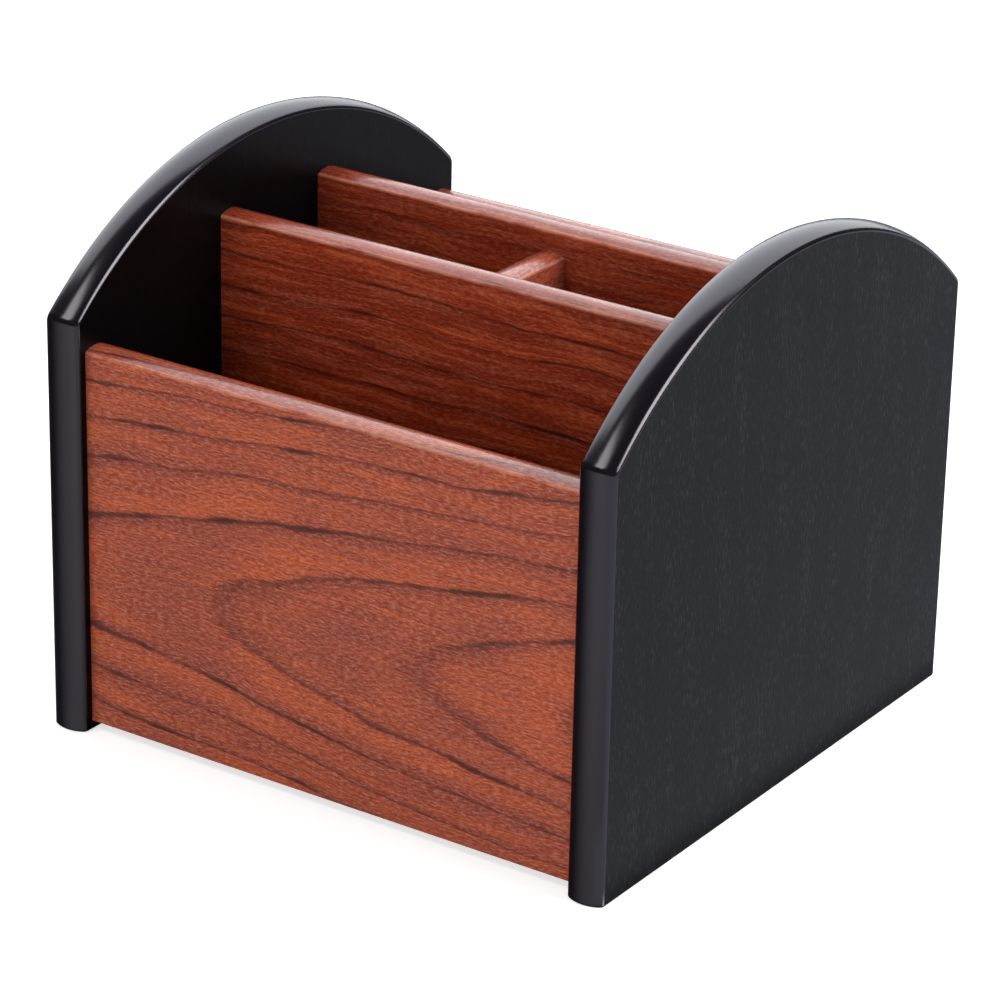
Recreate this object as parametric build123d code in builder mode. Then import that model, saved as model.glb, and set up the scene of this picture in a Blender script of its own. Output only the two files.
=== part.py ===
import os

from build123d import *

# Driving sizes, in millimetres
inner_width = 130.0  # between the side boards
front_slot_depth = 41.1  # clear space behind the front panel
pen_cell_depth = 29.5  # clear space between the partitions
rear_slot_depth = 38.4  # clear space before the rear panel
front_inset = 3.7  # front panel's face behind the side boards' front edge
rear_inset = 3.7  # rear panel's face ahead of the side boards' rear edge
floor_gap = 2.3  # underside of the front and rear panels and the base above the floor

side_thickness = 9.0
shoulder_height = 98.8  # where the straight front edge meets the arch
arch_rise = 29.0  # top of the arch above the shoulders
edge_crown = 1.4  # bulge of the side board's edge across its thickness
edge_round = 1.5  # radius that turns the crowned edge towards the flat faces
edge_corner = 0.1  # part of that round which the flat faces cut off

panel_thickness = 7.0
panel_crown = 0.9  # bulge of an upright board's top across its thickness
panel_round = 0.6  # radius along both edges of that top
base_thickness = 7.0
outer_panel_height = 89.8  # front and rear panels
partition_height = 100.8  # partitions, which stand on the base
divider_height = 95.3

dowel_diameter = 4.0
dowel_length = 14.0
dowel_margin = 16.0  # dowel's centre from the top or bottom edge of a board
bore_floor = 2.5  # wood left behind a blind bore
glue_gap = 0.1  # glue round a dowel
end_gap = 0.5  # glue past the end of a dowel

# Sizes that follow
half_width = inner_width / 2
half_side = side_thickness / 2
half_rim = half_side + edge_corner  # half the width of the crowned profile
slot_depths = front_slot_depth + pen_cell_depth + rear_slot_depth
half_depth = (front_inset + slot_depths + 4 * panel_thickness + rear_inset) / 2
side_height = shoulder_height + arch_rise
arch_radius = (half_depth**2 + arch_rise**2) / (2 * arch_rise)
arch_centre = side_height - arch_radius

front_panel_y = front_inset - half_depth
base_y = front_panel_y + panel_thickness
front_partition_y = base_y + front_slot_depth
divider_y = front_partition_y + panel_thickness
rear_partition_y = divider_y + pen_cell_depth
rear_panel_y = rear_partition_y + panel_thickness + rear_slot_depth
base_depth = rear_panel_y - base_y
base_top = floor_gap + base_thickness

bore_radius = dowel_diameter / 2 + glue_gap
side_bore = side_thickness - bore_floor
side_seat = side_bore - end_gap  # length of a dowel inside a side board
end_bore = dowel_length - side_seat + end_gap  # bore in the end of an upright board


def dowel_seats(front_y, bottom_z, height):
    # Dowel centres, as depth and height, at the end of an upright board
    middle_y = front_y + panel_thickness / 2
    return [(middle_y, bottom_z + dowel_margin), (middle_y, bottom_z + height - dowel_margin)]


front_panel_seats = dowel_seats(front_panel_y, floor_gap, outer_panel_height)
front_partition_seats = dowel_seats(front_partition_y, base_top, partition_height)
rear_partition_seats = dowel_seats(rear_partition_y, base_top, partition_height)
rear_panel_seats = dowel_seats(rear_panel_y, floor_gap, outer_panel_height)
side_seats = front_panel_seats + front_partition_seats + rear_partition_seats + rear_panel_seats


def side_board(hand):
    centre_x = hand * (half_width + half_side)
    rim_plane = Plane((centre_x, 0, arch_centre), x_dir=(1, 0, 0), z_dir=(0, 1, 0))
    with BuildPart() as board:
        # Plan of the board: crowned and rounded at the front and rear, cut by the flat faces
        with BuildSketch(Plane((centre_x, 0, 0))) as plan:
            with BuildLine():
                front = ThreePointArc(
                    (-half_rim, edge_crown - half_depth),
                    (0, -half_depth),
                    (half_rim, edge_crown - half_depth),
                )
                rear = ThreePointArc(
                    (half_rim, half_depth - edge_crown),
                    (0, half_depth),
                    (-half_rim, half_depth - edge_crown),
                )
                Line(front @ 1, rear @ 0)
                Line(rear @ 1, front @ 0)
            make_face()
            fillet(plan.vertices(), edge_round)
            Rectangle(side_thickness, 2 * half_depth, mode=Mode.INTERSECT)
        extrude(amount=side_height)
        # A disc with the same crowned rim, turned about the arch's centre, trims the top.
        # Its rim meets the upright edges in a mitre at each shoulder.
        with BuildSketch(rim_plane) as rim:
            with BuildLine():
                crown = ThreePointArc(
                    (half_rim, arch_radius - edge_crown),
                    (0, arch_radius),
                    (-half_rim, arch_radius - edge_crown),
                )
                Polyline(crown @ 1, (-half_rim, 0), (half_rim, 0), crown @ 0)
            make_face()
            fillet(rim.vertices().group_by(Axis.Y)[-1], edge_round)
        revolve(axis=Axis((0, 0, arch_centre), (1, 0, 0)), mode=Mode.INTERSECT)
        # Blind bores in the inner face
        with BuildSketch(Plane.YZ.offset(hand * half_width)):
            with Locations(*side_seats):
                Circle(bore_radius)
        extrude(amount=hand * side_bore, mode=Mode.SUBTRACT)
    return board


def crowned_section(height):
    # Cross-section of an upright board, from the middle of its lower edge
    half_panel = panel_thickness / 2
    with BuildSketch() as section:
        with BuildLine():
            crown = ThreePointArc(
                (half_panel, height - panel_crown),
                (0, height),
                (-half_panel, height - panel_crown),
            )
            Polyline(crown @ 1, (-half_panel, 0), (half_panel, 0), crown @ 0)
        make_face()
        fillet(section.vertices().group_by(Axis.Y)[-1], panel_round)
    return section.sketch


def upright_board(front_y, bottom_z, height, seats):
    with BuildPart() as board:
        with BuildSketch(Plane.YZ.offset(-half_width)):
            with Locations((front_y + panel_thickness / 2, bottom_z)):
                add(crowned_section(height))
        extrude(amount=inner_width)
        # Blind bores in both ends
        for hand in (-1, 1):
            with BuildSketch(Plane.YZ.offset(hand * half_width)):
                with Locations(*seats):
                    Circle(bore_radius)
            extrude(amount=-hand * end_bore, mode=Mode.SUBTRACT)
    return board


def dowel_set(seats):
    with BuildPart() as dowels:
        for hand in (-1, 1):
            with BuildSketch(Plane.YZ.offset(hand * (half_width + side_seat))):
                with Locations(*seats):
                    Circle(dowel_diameter / 2)
            extrude(amount=-hand * dowel_length)
    return dowels


# Side boards
left_side_panel = side_board(-1)
right_side_panel = side_board(1)

# Front and rear panels
front_panel = upright_board(front_panel_y, floor_gap, outer_panel_height, front_panel_seats)
rear_panel = upright_board(rear_panel_y, floor_gap, outer_panel_height, rear_panel_seats)

# Partitions
front_partition = upright_board(
    front_partition_y, base_top, partition_height, front_partition_seats
)
rear_partition = upright_board(rear_partition_y, base_top, partition_height, rear_partition_seats)

# Divider, glued between the partitions
with BuildPart() as divider:
    with BuildSketch(Plane.XZ.offset(-divider_y)):
        with Locations((0, base_top)):
            add(crowned_section(divider_height))
    extrude(amount=-pen_cell_depth)

# Base, glued between the side boards and the front and rear panels
with BuildPart() as base_panel:
    with BuildSketch(Plane.XY.offset(floor_gap)):
        with Locations((0, base_y + base_depth / 2)):
            Rectangle(inner_width, base_depth)
    extrude(amount=base_thickness)

# Dowels, one set for each board that they hold
front_panel_dowels = dowel_set(front_panel_seats)
front_partition_dowels = dowel_set(front_partition_seats)
rear_partition_dowels = dowel_set(rear_partition_seats)
rear_panel_dowels = dowel_set(rear_panel_seats)

pieces = {
    "left_side_panel": left_side_panel,
    "right_side_panel": right_side_panel,
    "front_panel": front_panel,
    "front_partition": front_partition,
    "rear_partition": rear_partition,
    "rear_panel": rear_panel,
    "divider": divider,
    "base_panel": base_panel,
    "front_panel_dowels": front_panel_dowels,
    "front_partition_dowels": front_partition_dowels,
    "rear_partition_dowels": rear_partition_dowels,
    "rear_panel_dowels": rear_panel_dowels,
}
os.makedirs("parts", exist_ok=True)
for name, piece in pieces.items():
    piece.part.label = name
    export_step(piece.part, f"parts/{name}.step")
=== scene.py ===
import math

import bpy
from mathutils import Matrix, Vector


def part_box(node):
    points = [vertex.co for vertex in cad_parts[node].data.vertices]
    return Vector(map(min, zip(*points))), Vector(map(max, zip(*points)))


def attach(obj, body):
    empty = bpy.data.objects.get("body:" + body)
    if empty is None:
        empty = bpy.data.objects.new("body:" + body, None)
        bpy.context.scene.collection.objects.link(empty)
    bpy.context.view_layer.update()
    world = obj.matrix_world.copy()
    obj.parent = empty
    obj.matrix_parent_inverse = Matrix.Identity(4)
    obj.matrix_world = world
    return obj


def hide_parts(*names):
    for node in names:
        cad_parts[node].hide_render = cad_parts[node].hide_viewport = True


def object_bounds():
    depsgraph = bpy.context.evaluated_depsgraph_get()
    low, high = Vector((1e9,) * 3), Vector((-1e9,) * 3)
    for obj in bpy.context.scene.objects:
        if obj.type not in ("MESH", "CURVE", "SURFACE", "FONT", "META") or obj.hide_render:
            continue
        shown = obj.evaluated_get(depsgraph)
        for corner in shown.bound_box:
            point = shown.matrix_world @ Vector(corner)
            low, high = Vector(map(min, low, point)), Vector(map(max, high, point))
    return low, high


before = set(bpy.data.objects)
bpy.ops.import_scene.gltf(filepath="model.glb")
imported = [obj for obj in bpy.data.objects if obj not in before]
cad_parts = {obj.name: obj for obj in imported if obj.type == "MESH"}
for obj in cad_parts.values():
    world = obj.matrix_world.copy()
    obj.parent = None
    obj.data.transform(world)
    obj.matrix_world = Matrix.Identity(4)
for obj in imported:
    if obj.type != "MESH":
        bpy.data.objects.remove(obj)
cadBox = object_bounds()
print("frame loaded,", len(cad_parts), "nodes")


# Node helpers

class Wire:
    # a node's output that takes part in sums, so that a formula reads as one
    def __init__(self, tree, socket):
        self.tree = tree
        self.socket = socket

    def __add__(self, other):
        return maths("ADD", self, other)

    def __radd__(self, other):
        return maths("ADD", other, self)

    def __sub__(self, other):
        return maths("SUBTRACT", self, other)

    def __rsub__(self, other):
        return maths("SUBTRACT", other, self)

    def __mul__(self, other):
        return maths("MULTIPLY", self, other)

    def __rmul__(self, other):
        return maths("MULTIPLY", other, self)

    def __truediv__(self, other):
        return maths("DIVIDE", self, other)

    def __rtruediv__(self, other):
        return maths("DIVIDE", other, self)


def plug(tree, socket, value):
    if isinstance(value, Wire):
        tree.links.new(value.socket, socket)
    else:
        socket.default_value = value


def addNode(tree, kind, inputs=None, **settings):
    node = tree.nodes.new(kind)
    for setting, value in settings.items():
        setattr(node, setting, value)
    for key, value in (inputs or {}).items():
        plug(tree, node.inputs[key], value)
    return node


def wireFrom(node, output=0):
    return Wire(node.id_data, node.outputs[output])


def maths(operation, *values):
    tree = next(value.tree for value in values if isinstance(value, Wire))
    node = tree.nodes.new("ShaderNodeMath")
    node.operation = operation
    for socket, value in zip(node.inputs, values):
        plug(tree, socket, value)
    return wireFrom(node)


def choose(test, yes, no):  # yes where the test is 1, no where it is 0
    return no + test * (yes - no)


def between(mask, ends):  # from the first end, where the mask is 0, to the second, where it is 1
    first, second = ends
    return first + mask * (second - first)


def splitVector(vector):
    node = addNode(vector.tree, "ShaderNodeSeparateXYZ", {0: vector})
    return [wireFrom(node, axis) for axis in range(3)]


def joinVector(tree, x, y, z):
    return wireFrom(addNode(tree, "ShaderNodeCombineXYZ", {0: x, 1: y, 2: z}))


def newTree(name, kind, inputs, outputs):
    # a node group with named sockets; gives the tree, its inputs as wires and its output node
    tree = bpy.data.node_groups.new(name, kind)
    for socketName, (socketType, default) in inputs.items():
        socket = tree.interface.new_socket(
            name=socketName, in_out="INPUT", socket_type="NodeSocket" + socketType)
        if default is not None:
            socket.default_value = default
    for socketName, socketType in outputs.items():
        tree.interface.new_socket(name=socketName, in_out="OUTPUT", socket_type="NodeSocket" + socketType)
    entry = tree.nodes.new("NodeGroupInput")
    wires = {socketName: wireFrom(entry, socketName) for socketName in inputs}
    return tree, wires, tree.nodes.new("NodeGroupOutput")


# Shader helpers

mmPerMetre = 1000.0


def cloud(tree, x, y, z, detail=2.0, rough=0.5):
    # noise from 0 to 1 at a point that is already divided by the size of its patches
    spot = joinVector(tree, x, y, z)
    return wireFrom(addNode(tree, "ShaderNodeTexNoise",
                            {"Vector": spot, "Scale": 1.0, "Detail": detail, "Roughness": rough}))


def ramp(value, low, high):  # soft step from 0 at low to 1 at high
    node = addNode(value.tree, "ShaderNodeMapRange", {"Value": value, "From Min": low, "From Max": high},
                   interpolation_type="SMOOTHSTEP")
    return wireFrom(node)


def blendColour(tree, share, first, second, way="MIX"):
    node = addNode(tree, "ShaderNodeMix", {0: share, 6: first, 7: second}, data_type="RGBA", blend_type=way)
    return wireFrom(node, 2)


def grey(tree, value):
    return wireFrom(addNode(tree, "ShaderNodeCombineColor", {0: value, 1: value, 2: value}))


def newMaterial(name):
    material = bpy.data.materials.new(name)
    material.use_nodes = True
    tree = material.node_tree
    shader = tree.nodes["Principled BSDF"]
    place = wireFrom(addNode(tree, "ShaderNodeTexCoord"), "Object")
    inMm = wireFrom(addNode(tree, "ShaderNodeVectorMath", {0: place, 3: mmPerMetre}, operation="SCALE"))
    return material, tree, shader, inMm


def addGroup(tree, group, inputs):
    return addNode(tree, "ShaderNodeGroup", inputs, node_tree=group)


def setLook(shader, values):
    for key, value in values.items():
        shader.inputs[key].default_value = value


def roughen(tree, shader, height, relief):
    depth, strength = relief
    bump = addNode(tree, "ShaderNodeBump", {"Height": height, "Distance": depth, "Strength": strength})
    plug(tree, shader.inputs["Normal"], wireFrom(bump))


# Unevenness that several finishes share, and painted highlights and polish along the film boards' top edges

smudgeSizes = {"patch": 21, "speck": 1.3}  # in millimetres
smudgeShares = {"patch": 2.0, "speck": 0.6}


def smudgeGroup(sizes, shares):
    # faint unevenness of a handled satin surface, in millimetres
    tree, size, put = newTree("satinSmudge", "ShaderNodeTree", {
        "Place": ("Vector", None), "Roughness": ("Float", 0.3), "Spread": ("Float", 0.05),
    }, {"Roughness": "Float"})
    x, y, z = splitVector(size["Place"])

    def noise(kind, detail):
        width = sizes[kind]
        return (cloud(tree, x / width, y / width, z / width, detail) - 0.5) * shares[kind]

    uneven = noise("patch", 3) + noise("speck", 2)
    plug(tree, put.inputs["Roughness"], size["Roughness"] + size["Spread"] * uneven)
    return tree


arrisHighlightLook = {
    "band": (0.15, 0.60),  # distance from the arris at which the painted highlight begins to fade and ends, in millimetres
    "arrisPatchLength": 9,  # patches that break up the painted highlight and vary the polish, along the board and across it, in millimetres
    "arrisPatchWidth": 30,
    "arrisPatchStep": (0.25, 0.65),
    "polishRise": (-0.3, 0.5),  # height over the arris at which the polish begins and is full, in millimetres
    "polish": (0.6, 1.2),
}


def arrisHighlightGroup(look):
    # painted highlight: a pale colour along both long edges of a board's top; and polish between them, in
    # millimetres
    number = "Float"
    tree, size, put = newTree("arrisHighlight", "ShaderNodeTree", {
        "Along": (number, 0.0), "Over": (number, 0.0), "Up": (number, 0.0),
        "Middle": (number, 0.0), "Half": (number, 3.2), "Top": (number, 91.0),
    }, {"Wear": "Float", "Polish": "Float"})
    aside = maths("ABSOLUTE", size["Over"] - size["Middle"]) - size["Half"]
    below = size["Up"] - size["Top"]
    away = maths("SQRT", aside * aside + below * below)
    width = look["arrisPatchWidth"]
    arrisPatches = cloud(tree, size["Along"] / look["arrisPatchLength"], size["Over"] / width, size["Up"] / width, 4, 0.6)
    plug(tree, put.inputs["Wear"], (1 - ramp(away, *look["band"])) * ramp(arrisPatches, *look["arrisPatchStep"]))
    plug(tree, put.inputs["Polish"], ramp(below, *look["polishRise"]) * between(arrisPatches, look["polish"]))
    return tree


satinSmudge = smudgeGroup(smudgeSizes, smudgeShares)
arrisHighlight = arrisHighlightGroup(arrisHighlightLook)


# Red wood film

# each noise of the grain: length and width of its patches in millimetres, shift of the seed,
# detail and roughness
filmNoise = {
    "drift": (46, 19, 0, 1, 0.5),
    "wobble": (11, 8, 4, 2, 0.5),
    "torn": (5, 0.40, 21, 3, 0.6),
    "bold": (17, 4, 2, 2, 0.5),
    "streak": (24, 1.5, 8, 3, 0.6),
    "fibre": (12, 0.42, 11, 4, 0.6),
    "pore": (1.5, 0.24, 17, 2, 0.5),
    "dash": (1.7, 0.40, 13, 3, 0.7),
    "tone": (55, 5.5, 6, 2, 0.5),
}

# the print, with lengths in millimetres; a step is the pair of values between which a mask rises
filmPrint = {
    "bend": (4.0, 0.8),  # how far drift and wobble bend the lines
    "heart": (1.0, 15.0),  # from the log's axis, where its heart ends; in it the rings are cut nearly flat
    "tear": (8, 38),  # how far the lines' tips are torn, outside the heart and in it
    "boldStep": (0.42, 0.74),
    "lineHalf": (0.22, 0.66),  # half the width of a thin line and of a bold one
    "lineEdge": (0.2, 1.2),  # shares of that width between which a line fades
    "lineStrength": (0.52, 1.0),  # of a thin line and of a bold one
    "lineInk": (0.65, 1.15),  # between the dashes and on them
    "heartFade": 0.4,
    "shadeRise": (-1.7, -0.1),  # distances from a line over which its shade comes and goes
    "shadeFall": (0.0, 0.5),
    "poreStep": (0.57, 0.70),
    "paleStep": (0.49, 0.64),
    "deepStep": (0.36, 0.51),
    "mauveMix": (0.50, 0.45, 0.10),  # tone, streak and shade that turn the red mauve
    "mauveStep": (0.86, 1.12),
    "red": (0.475, 0.090, 0.029, 1),
    "mauve": (0.287, 0.058, 0.034, 1),
    "fibreLight": (0.40, 1.60),
    "depth": (0.75, 0.46, 0.30, 1),  # painted shade of the boards in the slots: darker and redder, uneven along the streaks
    "slotShadeStep": (0.38, 0.62),
    "slotShadeShare": (0.45, 1.45),
    "roughness": (0.22, 0.08, 0.10),  # of the film, and what fibres and pores add
    "coat": (0.10, 0.95),
    "lineDull": 0.5,
    "slotShadeDull": 0.75,
}

# what is printed over the body, one after the other: its share and its colour
filmLayers = {
    "shade": (0.22, (0.150, 0.028, 0.018, 1)),
    "pore": (0.35, (0.085, 0.015, 0.010, 1)),
    "pale": (0.40, (0.625, 0.230, 0.155, 1)),
    "deep": (0.50, (0.175, 0.016, 0.005, 1)),
    "line": (1.00, (0.060, 0.016, 0.013, 1)),
}

filmRelief = {"fibre": 0.4, "dash": 0.6, "pore": -0.5, "line": -0.3}


def filmGrainGroup(look, noises, layers, relief):
    # printed wood grain, in millimetres: growth rings of a tapering log, cut along its length; Depth paints
    # shade over it
    number = "Float"
    tree, size, put = newTree("filmGrain", "ShaderNodeTree", {
        "Along": (number, 0.0), "Up": (number, 0.0), "Seed": (number, 0.0),
        "Axis Up": (number, 40.0), "Far End": (number, 130.0), "Taper": (number, 7.5),
        "Squeeze": (number, 0.85), "Ring Spacing": (number, 6.2), "First Ring": (number, 0.0),
        "Wander": (number, 1.6), "Line Strength": (number, 1.0), "Mauve": (number, 0.53),
        "Depth": (number, 0.0),
    }, {"Color": "Color", "Roughness": "Float", "Coat": "Float", "Height": "Float"})
    along, up, seed = size["Along"], size["Up"], size["Seed"]

    def noise(name, across):
        length, width, shift, detail, rough = noises[name]
        return cloud(tree, along / length, across / width, seed + shift, detail, rough)

    # the lines wander a little, and their edges are torn along the fibres
    driftBend, wobbleBend = look["bend"]
    sway = (noise("drift", up) - 0.5) * driftBend + (noise("wobble", up) - 0.5) * wobbleBend
    bent = up + size["Wander"] * sway
    rise = bent - size["Axis Up"]
    away = maths("MAXIMUM", rise, rise * -1 / size["Squeeze"])
    heart = 1 - ramp(away, *look["heart"])
    torn = (noise("torn", up) - 0.5) * between(heart, look["tear"])
    cut = maths("MAXIMUM", size["Taper"] * (size["Far End"] - along - torn), 1.0)
    radius = maths("SQRT", away * away + cut)
    rings = (radius - size["First Ring"]) / size["Ring Spacing"] + 0.5
    past = (maths("FRACT", rings) - 0.5) * size["Ring Spacing"]  # distance from the nearest ring line
    # ring lines: thin and dark, bolder in places, with a soft shade on their inner side
    bold = ramp(noise("bold", radius), *look["boldStep"])
    half = between(bold, look["lineHalf"])
    core = 1 - ramp(maths("ABSOLUTE", past), *[half * share for share in look["lineEdge"]])
    shade = ramp(past, *look["shadeRise"]) * (1 - ramp(past, *look["shadeFall"]))
    strength = between(bold, look["lineStrength"]) * (1 - heart * look["heartFade"])
    line = core * strength * size["Line Strength"]
    # streaks, fibres and pores run with the grain, under short dashes, pale and deep
    streak = noise("streak", bent)
    fibre = noise("fibre", bent)
    pore = ramp(noise("pore", bent), *look["poreStep"])
    dash = noise("dash", bent)
    pale = ramp(dash, *look["paleStep"])
    deep = 1 - ramp(dash, *look["deepStep"])
    toneMix, streakMix, shadeMix = look["mauveMix"]
    mixed = noise("tone", radius) * toneMix + streak * streakMix + shade * shadeMix + size["Mauve"]
    body = blendColour(tree, ramp(mixed, *look["mauveStep"]), look["red"], look["mauve"])
    body = blendColour(tree, 1.0, body, grey(tree, between(fibre, look["fibreLight"])), "MULTIPLY")
    inked = line * between(dash, look["lineInk"])
    masks = {"shade": shade, "pore": pore, "pale": pale, "deep": deep, "line": inked}
    for name, (share, colour) in layers.items():
        body = blendColour(tree, masks[name] * share, body, colour)
    # painted shade: where Depth is set, the colour is multiplied darker and redder, unevenly along the
    # streaks
    slotShaded = size["Depth"] * between(ramp(streak, *look["slotShadeStep"]), look["slotShadeShare"])
    body = blendColour(tree, slotShaded, body, look["depth"], "MULTIPLY")
    plug(tree, put.inputs["Color"], body)
    smooth, fibreRough, poreRough = look["roughness"]
    plug(tree, put.inputs["Roughness"], smooth + fibre * fibreRough + pore * poreRough)
    # the lines and the painted shade of Depth take coat away
    dull = (1 - line * look["lineDull"]) * (1 - size["Depth"] * look["slotShadeDull"])
    plug(tree, put.inputs["Coat"], between(pale, look["coat"]) * dull)
    raised = {"fibre": fibre, "dash": dash, "pore": pore, "line": line}
    plug(tree, put.inputs["Height"], sum(raised[name] * share for name, share in relief.items()))
    return tree


filmGrain = filmGrainGroup(filmPrint, filmNoise, filmLayers, filmRelief)

filmFinish = {
    "shader": {"Specular IOR Level": 0.2, "Coat Roughness": 0.2},
    # colour of the painted highlight along the top's edges
    "worn": (0.80, 0.33, 0.21, 1),
    "paintedHighlightShare": 0.6,
    "polishShare": 0.6,
    "relief": (0.00006, 0.5),  # depth of the bump in metres and its strength
}


def redFilm(name, look, grain, arris, runsBack):
    # arris says where the painted highlight runs along the top: middle of the board, how far from there and
    # height, in millimetres
    material, tree, shader, place = newMaterial(name)
    x, y, z = splitVector(place)
    along, over = (y, x) if runsBack else (x, y)
    # the print runs on over the rounded top, because its height is z + over
    wood = addGroup(tree, filmGrain, {"Along": along, "Up": z + over, **grain})
    smudge = addGroup(tree, satinSmudge, {"Place": place, "Roughness": wireFrom(wood, "Roughness")})
    highlightAndPolish = addGroup(tree, arrisHighlight, {"Along": along, "Over": over, "Up": z, **arris})
    # painted highlight: a pale colour laid along the top's long edges, in patches
    paintedHighlightMask = wireFrom(highlightAndPolish, "Wear") * look["paintedHighlightShare"]
    worn = blendColour(tree, paintedHighlightMask, wireFrom(wood, "Color"), look["worn"])
    plug(tree, shader.inputs["Base Color"], worn)
    plug(tree, shader.inputs["Roughness"], wireFrom(smudge))
    setLook(shader, look["shader"])
    sheen = wireFrom(wood, "Coat") + wireFrom(highlightAndPolish, "Polish") * look["polishShare"]
    plug(tree, shader.inputs["Coat Weight"], maths("MINIMUM", sheen, 1.0))
    roughen(tree, shader, wireFrom(wood, "Height"), look["relief"])
    return material


# Black finishes of the side boards and wood of the dowels

blackFace = {
    "colour": (0.0018, 0.0018, 0.0026, 1),
    "streak": (0.0046, 0.0048, 0.0062, 1),
    "inside": (0.0012, 0.0012, 0.0017, 1),  # painted shade: the inner faces, which look into the slots, are painted darker; they also get less coat
    "unshaded": (-8, -1),  # millimetres from the outer face between which the painted shade of the inner faces gives way
    "fineSize": (0.40, 2.4, 40),  # depth, height and thickness of the grain's marks, in millimetres
    "patchSize": (5, 30, 40),
    "patchShift": 5,
    "patchShare": 0.30,
    "streakStep": (0.53, 0.72),
    "roughness": 0.34,
    "spread": 0.05,
    "streakRough": 0.06,
    "shader": {"Specular IOR Level": 0.1, "Coat Roughness": 0.3},
    "fineCoat": 0.08,
    "streakCoat": 0.27,
    "coatShare": (0.35, 1.0),  # of the inner faces and of the outer ones
    "streakHeight": 0.5,
    "relief": (0.00004, 0.4),
}


def blackFaceMaterial(look):
    material, tree, shader, place = newMaterial("blackGrainFace")
    x, y, z = splitVector(place)
    depth, height, thickness = look["fineSize"]
    fine = cloud(tree, y / depth, z / height, x / thickness, 3, 0.7)
    depth, height, thickness = look["patchSize"]
    patch = cloud(tree, y / depth, z / height, x / thickness + look["patchShift"], 2)
    streak = ramp(fine + (patch - 0.5) * look["patchShare"], *look["streakStep"])
    # painted shade: darker colour and less coat on the inner faces, fading out towards the outer face
    unshaded = ramp(maths("ABSOLUTE", x) - cadBox[1][0] * mmPerMetre, *look["unshaded"])
    grained = blendColour(tree, streak, look["colour"], look["streak"])
    plug(tree, shader.inputs["Base Color"], blendColour(tree, unshaded, look["inside"], grained))
    smudge = addGroup(tree, satinSmudge,
                      {"Place": place, "Roughness": look["roughness"], "Spread": look["spread"]})
    plug(tree, shader.inputs["Roughness"], wireFrom(smudge) + streak * look["streakRough"])
    setLook(shader, look["shader"])
    sheen = fine * look["fineCoat"] + streak * look["streakCoat"]
    plug(tree, shader.inputs["Coat Weight"], sheen * between(unshaded, look["coatShare"]))
    roughen(tree, shader, fine + streak * look["streakHeight"], look["relief"])
    return material


blackEdge = {
    "colour": (0.0028, 0.0018, 0.0042, 1),
    "paler": (0.00392, 0.00252, 0.00588, 1),
    "tintSize": (6, 15, 15),  # in millimetres
    "roughness": 0.2,
    "spread": 0.03,
    "shader": {"Specular IOR Level": 0.78, "Specular Tint": (0.96, 0.92, 1.0, 1)},
    "waveSize": (2.5, 5, 5),
    "relief": (0.00002, 0.2),
}


def blackEdgeMaterial(look):
    material, tree, shader, place = newMaterial("blackSatinEdge")
    axes = splitVector(place)
    tint = cloud(tree, *[axis / size for axis, size in zip(axes, look["tintSize"])], 3)
    plug(tree, shader.inputs["Base Color"], blendColour(tree, tint, look["colour"], look["paler"]))
    smudge = addGroup(tree, satinSmudge,
                      {"Place": place, "Roughness": look["roughness"], "Spread": look["spread"]})
    plug(tree, shader.inputs["Roughness"], wireFrom(smudge))
    setLook(shader, look["shader"])
    wave = cloud(tree, *[axis / size for axis, size in zip(axes, look["waveSize"])], 2)
    roughen(tree, shader, wave, look["relief"])
    return material


dowelWood = {
    "dark": (0.42, 0.27, 0.14, 1),
    "pale": (0.62, 0.45, 0.27, 1),
    "fibreSize": (8, 0.4, 0.4),  # in millimetres
    "roughness": (0.55, 0.75),
    "relief": (0.0001, 0.4),
}


def dowelMaterial(look):
    material, tree, shader, place = newMaterial("paleDowelWood")
    fibre = cloud(tree, *[axis / size for axis, size in zip(splitVector(place), look["fibreSize"])], 3)
    plug(tree, shader.inputs["Base Color"], blendColour(tree, fibre, look["dark"], look["pale"]))
    plug(tree, shader.inputs["Roughness"], between(fibre, look["roughness"]))
    roughen(tree, shader, fibre, look["relief"])
    return material


print("shader groups ready")


# Geometry trees

meshing = {
    "mergeGap": 1e-6,
    "sharpAngle": math.radians(12),
    "leastEase": 0.01,
    # limits that tell parts of a board from one another, as shares of the foot's round,
    # of half the thickness and of half the length
    "clearOfFoot": 1.5,
    "clearOfFace": 0.9995,
    "clearOfEnd": 0.9,
}


def sheet(tree, across, along, x, y, z, flip):
    # a grid whose points are put where the formula says; the grid itself runs from -1 to 1 both ways
    grid = addNode(tree, "GeometryNodeMeshGrid",
                   {"Size X": 2.0, "Size Y": 2.0, "Vertices X": across, "Vertices Y": along})
    bent = addNode(tree, "GeometryNodeSetPosition",
                   {"Geometry": wireFrom(grid), "Position": joinVector(tree, x, y, z)})
    if flip:
        bent = addNode(tree, "GeometryNodeFlipFaces", {"Mesh": wireFrom(bent)})
    return wireFrom(bent)


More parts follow.
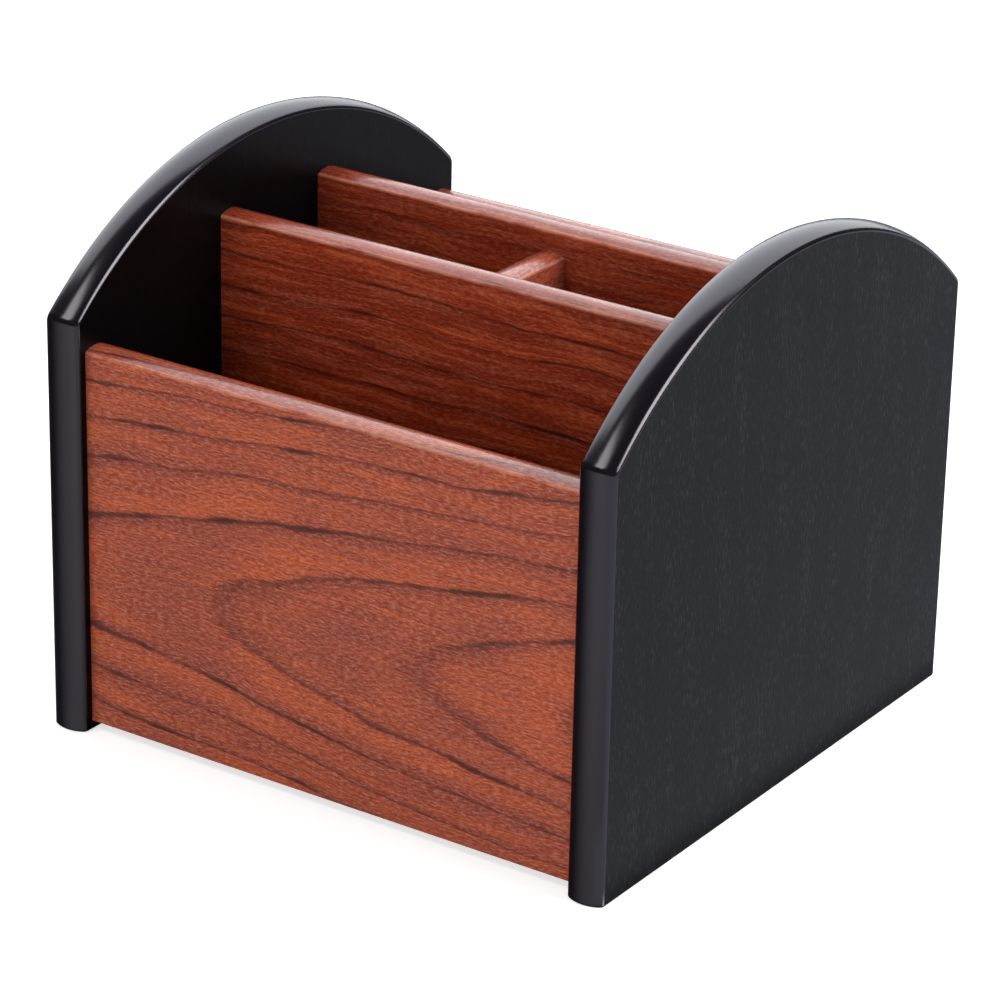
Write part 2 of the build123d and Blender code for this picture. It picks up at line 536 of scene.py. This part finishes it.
def closeMesh(tree, parts, ease):
    joined = addNode(tree, "GeometryNodeJoinGeometry")
    for part in parts:
        tree.links.new(part.socket, joined.inputs[0])
    merged = addNode(tree, "GeometryNodeMergeByDistance",
                     {0: wireFrom(joined), "Distance": meshing["mergeGap"]})
    smooth = addNode(tree, "GeometryNodeSetShadeSmooth", {0: wireFrom(merged), "Shade Smooth": True})
    # sharp edges are marked for the bevel by the share they get of it, and stay crisp where that is none
    bend = wireFrom(addNode(tree, "GeometryNodeInputMeshEdgeAngle"), "Unsigned Angle")
    sharp = maths("GREATER_THAN", bend, meshing["sharpAngle"])
    uneased = sharp * maths("LESS_THAN", ease, meshing["leastEase"])
    crisp = addNode(tree, "GeometryNodeSetShadeSmooth",
                    {0: wireFrom(smooth), "Selection": uneased, "Shade Smooth": False}, domain="EDGE")
    marked = addNode(tree, "GeometryNodeStoreNamedAttribute",
                     {0: wireFrom(crisp), "Name": "bevel_weight_edge", "Value": sharp * ease},
                     data_type="FLOAT", domain="EDGE")
    return wireFrom(marked)


def finishMesh(tree, mesh, material):
    realized = addNode(tree, "GeometryNodeRealizeInstances", {0: mesh})
    return wireFrom(addNode(tree, "GeometryNodeSetMaterial", {0: wireFrom(realized), "Material": material}))


def crownedEdge(size, across):
    # edge profile by its turn from the middle: a wide crown, then a round that the flat face may cut off;
    # gives the place across the board, the inset there and the inset where the flat face begins
    halfThickness, edge, crown = size["Half Thickness"], size["Edge Round"], size["Edge Crown"]
    halfRim = halfThickness + size["Edge Corner"]
    bulge = (halfRim * halfRim + crown * crown) / (crown * 2)
    roundAt = halfRim - edge
    reach = bulge - edge
    roundIn = bulge - maths("SQRT", reach * reach - roundAt * roundAt)
    crownTurn = maths("ARCSINE", roundAt / reach)
    faceTurn = maths("ARCSINE", (halfThickness - roundAt) / edge)
    turn = across * faceTurn
    leaning = maths("ABSOLUTE", turn)
    onCrown = maths("LESS_THAN", leaning, crownTurn)
    roundX = maths("SIGN", across) * (roundAt + edge * maths("SINE", leaning))
    edgeX = choose(onCrown, bulge * maths("SINE", turn), roundX)
    edgeIn = choose(onCrown, bulge - bulge * maths("COSINE", turn), roundIn - edge * maths("COSINE", turn))
    return edgeX, edgeIn, roundIn - edge * maths("COSINE", faceTurn)


def archedBoardTree():
    # flat faces, an arched top and a crowned edge that mitres at the shoulders
    length = "Float"
    tree, size, put = newTree("archedBoard", "GeometryNodeTree", {
        "Centre": (length, 0.0), "Half Thickness": (length, 0.0045), "Half Depth": (length, 0.072),
        "Height": (length, 0.128), "Arch Rise": (length, 0.029), "Edge Crown": (length, 0.0014),
        "Edge Round": (length, 0.0015), "Edge Corner": (length, 0.0001), "Foot Round": (length, 0.0006),
        "Arch Steps": ("Int", 97), "Edge Steps": ("Int", 33), "Foot Steps": ("Int", 12),
        "Face Finish": ("Material", None), "Edge Finish": ("Material", None),
    }, {"Geometry": "Geometry"})
    across, along, _ = splitVector(wireFrom(addNode(tree, "GeometryNodeInputPosition")))
    edgeX, edgeIn, faceIn = crownedEdge(size, across)
    # outline: the same inset from the upright edges and from the arch
    halfDepth, rise = size["Half Depth"], size["Arch Rise"]
    radius = (halfDepth * halfDepth + rise * rise) / (rise * 2)
    centreZ = size["Height"] - radius

    def outline(inset, share):  # half depth, shoulder height and the arch's points at that inset
        depth = halfDepth - inset
        arm = radius - inset
        swing = share * maths("ARCSINE", depth / arm)
        shoulder = centreZ + maths("SQRT", arm * arm - depth * depth)
        return depth, shoulder, arm * maths("SINE", swing), centreZ + arm * maths("COSINE", swing)

    depth, shoulder, archY, archZ = outline(edgeIn, along)
    faceDepth, _, footY, _ = outline(faceIn, along)
    _, _, faceY, faceZ = outline(faceIn, across)
    edgeSteps, archSteps, rows = size["Edge Steps"], size["Arch Steps"], size["Foot Steps"]
    # the upright sheets begin with the rows of the rounded foot, and one last row takes them up
    centre, halfThickness, footRound = size["Centre"], size["Half Thickness"], size["Foot Round"]
    row = (along + 1) / 2 * (rows - 1)
    footTurn = maths("MINIMUM", row / (rows - 2), 1.0) * (math.pi / 2)
    footIn = footRound - footRound * maths("SINE", footTurn)
    footUp = footRound - footRound * maths("COSINE", footTurn)
    atTop = maths("GREATER_THAN", row, rows - 1.5)  # the last row
    noseX = centre + edgeX * (1 - footIn / halfThickness)
    noseZ = choose(atTop, shoulder, footUp)
    parts = [
        sheet(tree, edgeSteps, archSteps, centre + edgeX, archY, archZ, False),
        sheet(tree, edgeSteps, rows, noseX, footIn - depth, noseZ, False),
        sheet(tree, edgeSteps, rows, noseX, depth - footIn, noseZ, True),
        sheet(tree, edgeSteps, archSteps, centre + edgeX * (1 - footRound / halfThickness),
              (depth - footRound) / faceDepth * footY, 0.0, True),
    ]
    for hand in (-1, 1):
        parts.append(sheet(tree, archSteps, rows, centre + (halfThickness - footIn) * hand,
                           (faceDepth - footIn) / faceDepth * faceY, choose(atTop, faceZ, footUp), hand < 0))
    # only the mitres are eased, which lie above the foot
    atX, _, height = splitVector(wireFrom(addNode(tree, "GeometryNodeInputPosition")))
    aboveFoot = maths("GREATER_THAN", height, footRound * meshing["clearOfFoot"])
    faced = finishMesh(tree, closeMesh(tree, parts, aboveFoot), size["Face Finish"])
    # the rim is all that lies between the flat faces, apart from the foot
    offFaces = maths("LESS_THAN", maths("ABSOLUTE", atX - centre), halfThickness * meshing["clearOfFace"])
    rimmed = addNode(tree, "GeometryNodeSetMaterial",
                     {0: faced, "Selection": offFaces * aboveFoot, "Material": size["Edge Finish"]})
    plug(tree, put.inputs[0], wireFrom(rimmed))
    return tree


def crownedBoardTree():
    # a straight board whose top is crowned across its thickness
    length = "Float"
    tree, size, put = newTree("crownedBoard", "GeometryNodeTree", {
        "Length": (length, 0.13), "Half Thickness": (length, 0.0035), "Height": (length, 0.09),
        "Edge Crown": (length, 0.0009), "Edge Round": (length, 0.0006), "Edge Corner": (length, 0.0),
        "Edge Steps": ("Int", 41), "Turn": (length, 0.0), "Place": ("Vector", None),
        "Finish": ("Material", None),
    }, {"Geometry": "Geometry"})
    across, along, _ = splitVector(wireFrom(addNode(tree, "GeometryNodeInputPosition")))
    edgeY, edgeIn, faceIn = crownedEdge(size, across)
    halfLength, steps = size["Length"] / 2, size["Edge Steps"]
    top = size["Height"] - edgeIn
    level = (along + 1) / 2
    faceTop = level * (size["Height"] - faceIn)
    parts = [
        sheet(tree, steps, 2, along * halfLength, edgeY, top, True),
        sheet(tree, steps, 2, along * halfLength, edgeY, 0.0, False),
    ]
    for hand in (-1, 1):
        parts.append(sheet(tree, steps, 2, halfLength * hand, edgeY, level * top, hand < 0))
        parts.append(sheet(tree, 2, 2, across * halfLength, size["Half Thickness"] * hand, faceTop, hand > 0))
    # only the long edges are eased, and the ends stay flat against their neighbours
    lengthwise, _, _ = splitVector(wireFrom(addNode(tree, "GeometryNodeInputPosition")))
    offEnds = maths("LESS_THAN", maths("ABSOLUTE", lengthwise), halfLength * meshing["clearOfEnd"])
    closed = closeMesh(tree, parts, offEnds)
    placed = addNode(tree, "GeometryNodeTransform", {0: closed, "Translation": size["Place"],
                                                     "Rotation": joinVector(tree, 0.0, 0.0, size["Turn"])})
    plug(tree, put.inputs[0], finishMesh(tree, wireFrom(placed), size["Finish"]))
    return tree


archedBoard = archedBoardTree()
crownedBoard = crownedBoardTree()
easeSteps = 4


def growPiece(name, tree, values, node, easedEdge):
    # runs a geometry tree, keeps the result as a plain mesh and lets it stand for its CAD node
    piece = bpy.data.objects.new(name, bpy.data.meshes.new(name))
    bpy.context.scene.collection.objects.link(piece)
    grower = piece.modifiers.new("grow", "NODES")
    grower.node_group = tree
    for socket in tree.interface.items_tree:
        if socket.in_out == "INPUT" and socket.name in values:
            grower[socket.identifier] = values[socket.name]
    ease = piece.modifiers.new("easedEdge", "BEVEL")
    ease.width = easedEdge
    ease.segments = easeSteps
    ease.limit_method = "WEIGHT"
    ease.use_clamp_overlap = False
    piece.modifiers.new("evenShading", "WEIGHTED_NORMAL").keep_sharp = True
    depsgraph = bpy.context.evaluated_depsgraph_get()
    mesh = bpy.data.meshes.new_from_object(piece.evaluated_get(depsgraph))
    piece.modifiers.clear()
    piece.data = mesh
    mesh.name = name
    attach(piece, "root")
    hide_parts(node)
    print("  ", name, len(mesh.vertices), "points,", len(mesh.polygons), "faces")


print("geometry trees ready")


# Side boards

sideBoard = {
    "Arch Rise": 0.029,
    "Edge Crown": 0.0014,
    "Edge Round": 0.0015,
    "Edge Corner": 0.00002,
    "Foot Round": 0.0006,
    "Arch Steps": 97,
    "Edge Steps": 41,
    "Foot Steps": 12,
}
shoulderRound = 0.0009


def makeSideBoards(sizes):
    faceFinish = blackFaceMaterial(blackFace)
    edgeFinish = blackEdgeMaterial(blackEdge)
    for hand in ("left", "right"):
        low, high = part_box(hand + "_side_panel")
        growPiece(hand + "SideBoard", archedBoard, {
            **sizes, "Centre": (low.x + high.x) / 2, "Half Thickness": (high.x - low.x) / 2,
            "Half Depth": (high.y - low.y) / 2, "Height": high.z,
            "Face Finish": faceFinish, "Edge Finish": edgeFinish,
        }, hand + "_side_panel", shoulderRound)


makeSideBoards(sideBoard)
print("side boards ready")


# Cross boards

crossBoard = {"Edge Crown": 0.0009, "Edge Round": 0.0006, "Edge Steps": 41}
baseBoard = {"Edge Crown": 0.0001, "Edge Round": 0.0003, "Edge Steps": 9}
easedEdge = 0.0002
arrisInset = 0.3  # the arris along which the highlight is painted, from a board's face and from its top, in millimetres
arrisDrop = 1.05

# where the log that each board's grain is cut from lies, and how its rings run, in millimetres
boards = {
    "front_panel": {"Axis Up": -29.0, "Far End": 130.0, "Taper": 7.5, "Squeeze": 0.83, "Ring Spacing": 6.25,
                    "First Ring": 28.3, "Wander": 1.4, "Seed": 3.0},
    # Depth paints shade onto the partitions, which stand in the slots
    "front_partition": {"Axis Up": -10.0, "Far End": 900.0, "Taper": 1.4, "Squeeze": 0.9, "Ring Spacing": 7.0,
                        "Wander": 1.6, "Mauve": 0.55, "Depth": 0.9, "Seed": 14.0},
    "rear_partition": {"Axis Up": 40.0, "Far End": 700.0, "Taper": 2.0, "Squeeze": 0.9, "Ring Spacing": 8.0,
                       "Wander": 1.8, "Line Strength": 0.5, "Mauve": 0.54, "Depth": 0.7, "Seed": 27.0},
    "rear_panel": {"Axis Up": 105.0, "Far End": 190.0, "Taper": 5.5, "Squeeze": 0.8, "Ring Spacing": 6.8,
                   "Wander": 1.2, "Seed": 41.0},
    "divider": {"Axis Up": 60.0, "Far End": 400.0, "Taper": 3.0, "Squeeze": 0.9, "Ring Spacing": 6.5,
                "Wander": 1.0, "Seed": 52.0},
    "base_panel": {"Axis Up": 20.0, "Far End": 240.0, "Taper": 6.0, "Squeeze": 0.9, "Ring Spacing": 7.5,
                   "Wander": 1.2, "Seed": 66.0},
}


def boardName(node):  # front_panel becomes frontPanelBoard
    first, *others = node.split("_")
    return first + "".join(word.capitalize() for word in others) + "Board"


def makeCrossBoards():
    for node, grain in boards.items():
        low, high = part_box(node)
        size = high - low
        middle = (low + high) / 2
        runsBack = node == "divider"
        length, thickness, across = (size.y, size.x, middle.x) if runsBack else (size.x, size.y, middle.y)
        arris = {
            "Middle": across * mmPerMetre,
            "Half": thickness / 2 * mmPerMetre - arrisInset,
            "Top": high.z * mmPerMetre - arrisDrop,
        }
        name = boardName(node)
        growPiece(name, crownedBoard, {
            **(baseBoard if node == "base_panel" else crossBoard),
            "Length": length,
            "Half Thickness": thickness / 2,
            "Height": size.z,
            "Turn": math.pi / 2 if runsBack else 0.0,
            "Place": Vector((middle.x, middle.y, low.z)),
            "Finish": redFilm(name + "Film", filmFinish, grain, arris, runsBack),
        }, node, easedEdge)


makeCrossBoards()
print("cross boards ready")


# Dowels, which stay inside the boards

def finishDowels():
    finish = dowelMaterial(dowelWood)
    for name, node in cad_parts.items():
        if name.endswith("_dowels"):
            node.data.materials.clear()
            node.data.materials.append(finish)


finishDowels()
print("dowels ready")


# Floor, light and camera

floorLook = {
    "half": 4.0,
    "colour": (0.80, 0.80, 0.80, 1),
    "glow": (0.64, 1.04),  # what the camera sees besides, near the object and out of the lamps' reach
    "reach": (0.5, 1.2),  # from the object, in metres
    "gloss": 0.15,
    "mirror": (0.39, 0.50),  # how well the table mirrors, on the left of the object and elsewhere
    "mirrorStep": (-0.011, 0.019),  # from the left face
    "card": (0.66, 0.68, 0.78, 1),
    "cardFar": (0.011, 0.076),  # the card's soft edge, from the right face
    "cardNear": (0.0005, 0.007),  # the same close to the board, behind a front edge of its own
    "cardFront": (-0.0378, -0.0178),  # from the board's nose
    "beforeNose": (-0.0018, 0.0022),  # ahead of it the card reaches in a little further
    "noseReach": 0.005,
}


def makeFloor(look):
    half = look["half"]
    corners = [(-half, -half, 0), (half, -half, 0), (half, half, 0), (-half, half, 0)]
    mesh = bpy.data.meshes.new("floor")
    mesh.from_pydata(corners, [], [(0, 1, 2, 3)])
    floor = bpy.data.objects.new("floor", mesh)
    bpy.context.scene.collection.objects.link(floor)
    material = bpy.data.materials.new("paleFloor")
    material.use_nodes = True
    tree = material.node_tree
    tree.nodes.clear()
    rays = addNode(tree, "ShaderNodeLightPath")
    matt = addNode(tree, "ShaderNodeBsdfDiffuse", {"Color": look["colour"]})
    # the camera sees it nearly white, and wholly so out of the lamps' reach
    x, y, _ = splitVector(wireFrom(addNode(tree, "ShaderNodeTexCoord"), "Object"))
    away = ramp(maths("SQRT", x * x + y * y), *look["reach"])
    glow = addNode(tree, "ShaderNodeEmission",
                   {"Color": (1, 1, 1, 1), "Strength": between(away, look["glow"])})
    seen = addNode(tree, "ShaderNodeAddShader", {0: wireFrom(matt), 1: wireFrom(glow)})
    # satin surfaces mirror the polished table, which mirrors the studio walls,
    # and a pale card that lies on its right side
    (left, front, _), (right, _, _) = cadBox
    beside, ahead = x - right, y - front
    inward = (1 - ramp(ahead, *look["beforeNose"])) * look["noseReach"]
    nearCard = ramp(beside + inward, *look["cardNear"]) * ramp(ahead, *look["cardFront"])
    onCard = maths("MAXIMUM", ramp(beside, *look["cardFar"]), nearCard)
    shine = grey(tree, between(ramp(x - left, *look["mirrorStep"]), look["mirror"]))
    polished = addNode(tree, "ShaderNodeBsdfGlossy", {"Color": shine, "Roughness": look["gloss"]})
    card = addNode(tree, "ShaderNodeEmission", {"Color": look["card"], "Strength": 1.0})
    table = addNode(tree, "ShaderNodeMixShader", {0: onCard, 1: wireFrom(polished), 2: wireFrom(card)})
    mirrored = addNode(tree, "ShaderNodeMixShader",
                       {0: wireFrom(rays, "Is Glossy Ray"), 1: wireFrom(matt), 2: wireFrom(table)})
    mixed = addNode(tree, "ShaderNodeMixShader",
                    {0: wireFrom(rays, "Is Camera Ray"), 1: wireFrom(mirrored), 2: wireFrom(seen)})
    addNode(tree, "ShaderNodeOutputMaterial", {"Surface": wireFrom(mixed)})
    mesh.materials.append(material)


makeFloor(floorLook)

studio = {
    "dome": 0.05,
    "walls": (1.85, 0.70, 0.03),  # how bright the walls are in front, behind the right and at the left
    "wallTop": (0.38, 0.58),  # sine of the height above the table at which they end
    # turns from the front towards the left, in radians, over which a wall passes into the next one
    "rightToFront": (-2.2, 0.2),
    "frontToLeft": (0.14, 1.29),
    "leftToRight": (-3.14, -2.7),
    # each lamp: where it stands, what it faces, its width and height in metres,
    # how bright its face is and its colour
    "lamps": {
        "frontSoftbox": ((-0.335, -0.680, 1.20), (0, 0, 0.08), (0.64, 0.52), 4.4, (1, 1, 1)),
        "rightSoftbox": ((1.11, 0.26, 0.80), (0, 0, 0.10), (0.75, 0.85), 8.5, (1, 1, 1)),
        "backSweep": ((-0.705, 1.007, 0.993), (0, 0, 0.10), (2.90, 2.10), 2.03, (0.93, 0.96, 1.0)),
    },
}


def makeLamps(lamps):
    for name, (spot, aim, (width, height), face, colour) in lamps.items():
        lamp = bpy.data.lights.new(name, "AREA")
        lamp.shape = "RECTANGLE"
        lamp.size = width
        lamp.size_y = height
        lamp.energy = face * math.pi * width * height  # watts, for that brightness of its face
        lamp.color = colour
        holder = bpy.data.objects.new(name, lamp)
        holder.location = spot
        holder.rotation_euler = (Vector(aim) - Vector(spot)).to_track_quat("-Z", "Y").to_euler()
        holder.visible_camera = False
        bpy.context.scene.collection.objects.link(holder)


def makeWorld(look):
    world = bpy.data.worlds.new("studio")
    world.use_nodes = True
    tree = world.node_tree
    tree.nodes.clear()
    rays = addNode(tree, "ShaderNodeLightPath")
    # walls by the turn from the front towards the left; they light the boards,
    # but gloss shows them only by way of the table
    front, right, left = look["walls"]
    x, y, z = splitVector(wireFrom(addNode(tree, "ShaderNodeTexCoord"), "Object"))
    turn = maths("ARCTAN2", x * -1, y * -1)
    lit = between(ramp(turn, *look["rightToFront"]), (right, front))
    inLight = (1 - ramp(turn, *look["frontToLeft"])) * ramp(turn, *look["leftToRight"])
    wall = choose(inLight, lit, left)
    direct = wireFrom(rays, "Is Glossy Ray") * maths("LESS_THAN", wireFrom(rays, "Glossy Depth"), 1.5)
    shown = (1 - ramp(z, *look["wallTop"])) * (1 - direct)
    level = choose(shown, wall, look["dome"])
    ambient = addNode(tree, "ShaderNodeBackground", {"Color": (1, 1, 1, 1), "Strength": level})
    white = addNode(tree, "ShaderNodeBackground", {"Color": (1, 1, 1, 1), "Strength": 1.0})
    mixed = addNode(tree, "ShaderNodeMixShader",
                    {0: wireFrom(rays, "Is Camera Ray"), 1: wireFrom(ambient), 2: wireFrom(white)})
    addNode(tree, "ShaderNodeOutputWorld", {"Surface": wireFrom(mixed)})
    bpy.context.scene.world = world
    bpy.context.scene.view_settings.view_transform = "Standard"


makeLamps(studio["lamps"])
makeWorld(studio)

photoView = {
    "spot": (0.49685, -0.74097, 0.43071),
    "azimuth": 33.915,
    "elevation": 23.144,
    "roll": 1.209,
    "lens": 154.51,
    "sensor": 36.0,
}


def makeCamera(look):
    data = bpy.data.cameras.new("photoCamera")
    data.lens = look["lens"]
    data.sensor_width = look["sensor"]
    camera = bpy.data.objects.new("photoCamera", data)
    azimuth, elevation, roll = [math.radians(look[key]) for key in ("azimuth", "elevation", "roll")]
    away = math.cos(elevation)
    back = Vector((math.sin(azimuth) * away, -math.cos(azimuth) * away, math.sin(elevation)))
    turn = (-back).to_track_quat("-Z", "Y").to_matrix() @ Matrix.Rotation(roll, 3, "Z")
    camera.matrix_world = Matrix.Translation(look["spot"]) @ turn.to_4x4()
    bpy.context.scene.collection.objects.link(camera)
    bpy.context.scene.camera = camera


makeCamera(photoView)
print("floor, light and camera ready")
